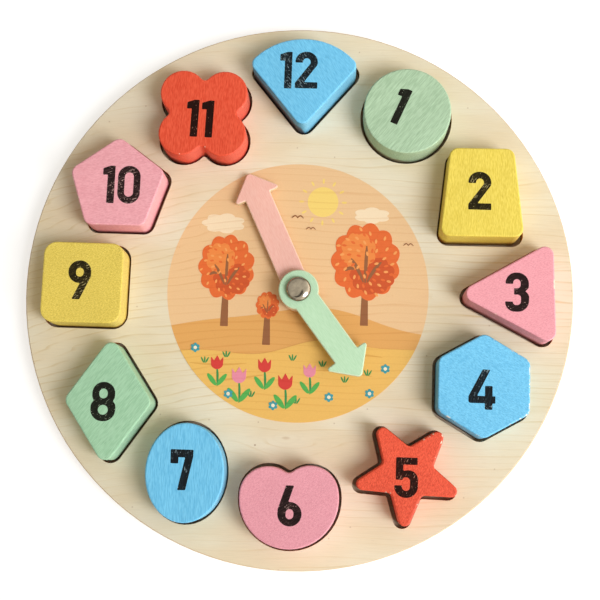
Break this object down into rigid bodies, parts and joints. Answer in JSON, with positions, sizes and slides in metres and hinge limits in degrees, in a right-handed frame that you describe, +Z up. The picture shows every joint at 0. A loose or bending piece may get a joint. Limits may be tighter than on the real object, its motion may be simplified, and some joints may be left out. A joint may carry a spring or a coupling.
{
  "type": "wooden puzzle clock",
  "caption": "Round plywood clock dial for toddlers with loose painted shape blocks as hours, sitting in matching recesses, and two arrow hands on a riveted pivot.",
  "frame": {"origin": "middle of the underside of the round board, on the surface that it lies on", "axes": "+Z up out of the dial, +Y to twelve o'clock, +X to three o'clock"},
  "size_m": [0.22, 0.22, 0.021],
  "materials": {
    "plywood_back": "bare birch plywood",
    "plywood_face": "bare birch plywood, matt varnish",
    "paint_green": "matt painted wood",
    "paint_yellow": "matt painted wood",
    "paint_pink": "matt painted wood",
    "paint_blue": "matt painted wood",
    "paint_red": "matt painted wood",
    "hand_pink": "matt painted plywood",
    "hand_green": "matt painted plywood",
    "nickel": "polished nickel plate",
    "steel": "zinc-plated steel",
    "nylon": "natural nylon"
  },
  "bodies": {
    "board": {"back_board": "plywood_back", "face_board": "plywood_face", "rear_washer": "steel", "pivot_rivet": "steel", "spacer_washer": "nylon", "hand_washer": "nylon", "cap_washer": "steel", "pivot_cap": "nickel"},
    "minute_hand": {"minute_hand": "hand_pink"},
    "hour_hand": {"hour_hand": "hand_green"},
    "block_01": {"block_01_circle": "paint_green"},
    "block_02": {"block_02_trapezoid": "paint_yellow"},
    "block_03": {"block_03_triangle": "paint_pink"},
    "block_04": {"block_04_hexagon": "paint_blue"},
    "block_05": {"block_05_star": "paint_red"},
    "block_06": {"block_06_heart": "paint_pink"},
    "block_07": {"block_07_oval": "paint_blue"},
    "block_08": {"block_08_rhombus": "paint_green"},
    "block_09": {"block_09_square": "paint_yellow"},
    "block_10": {"block_10_pentagon": "paint_pink"},
    "block_11": {"block_11_quatrefoil": "paint_red"},
    "block_12": {"block_12_fan": "paint_blue"}
  },
  "joints": [
    {"name": "minute_hand_turn", "type": "hinge", "parent": "board", "child": "minute_hand", "pos_m": [0.0007, -0.00045, 0.0116], "axis": [0, 0, 1], "continuous": true},
    {"name": "hour_hand_turn", "type": "hinge", "parent": "board", "child": "hour_hand", "pos_m": [0.0007, -0.00045, 0.0157], "axis": [0, 0, 1], "continuous": true},
    {"name": "lift_01_circle", "type": "slide", "parent": "board", "child": "block_01", "axis": [0, 0, 1], "range_m": [0, 0.03]},
    {"name": "lift_02_trapezoid", "type": "slide", "parent": "board", "child": "block_02", "axis": [0, 0, 1], "range_m": [0, 0.03]},
    {"name": "lift_03_triangle", "type": "slide", "parent": "board", "child": "block_03", "axis": [0, 0, 1], "range_m": [0, 0.03]},
    {"name": "lift_04_hexagon", "type": "slide", "parent": "board", "child": "block_04", "axis": [0, 0, 1], "range_m": [0, 0.03]},
    {"name": "lift_05_star", "type": "slide", "parent": "board", "child": "block_05", "axis": [0, 0, 1], "range_m": [0, 0.03]},
    {"name": "lift_06_heart", "type": "slide", "parent": "board", "child": "block_06", "axis": [0, 0, 1], "range_m": [0, 0.03]},
    {"name": "lift_07_oval", "type": "slide", "parent": "board", "child": "block_07", "axis": [0, 0, 1], "range_m": [0, 0.03]},
    {"name": "lift_08_rhombus", "type": "slide", "parent": "board", "child": "block_08", "axis": [0, 0, 1], "range_m": [0, 0.03]},
    {"name": "lift_09_square", "type": "slide", "parent": "board", "child": "block_09", "axis": [0, 0, 1], "range_m": [0, 0.03]},
    {"name": "lift_10_pentagon", "type": "slide", "parent": "board", "child": "block_10", "axis": [0, 0, 1], "range_m": [0, 0.03]},
    {"name": "lift_11_quatrefoil", "type": "slide", "parent": "board", "child": "block_11", "axis": [0, 0, 1], "range_m": [0, 0.03]},
    {"name": "lift_12_fan", "type": "slide", "parent": "board", "child": "block_12", "axis": [0, 0, 1], "range_m": [0, 0.03]}
  ]
}
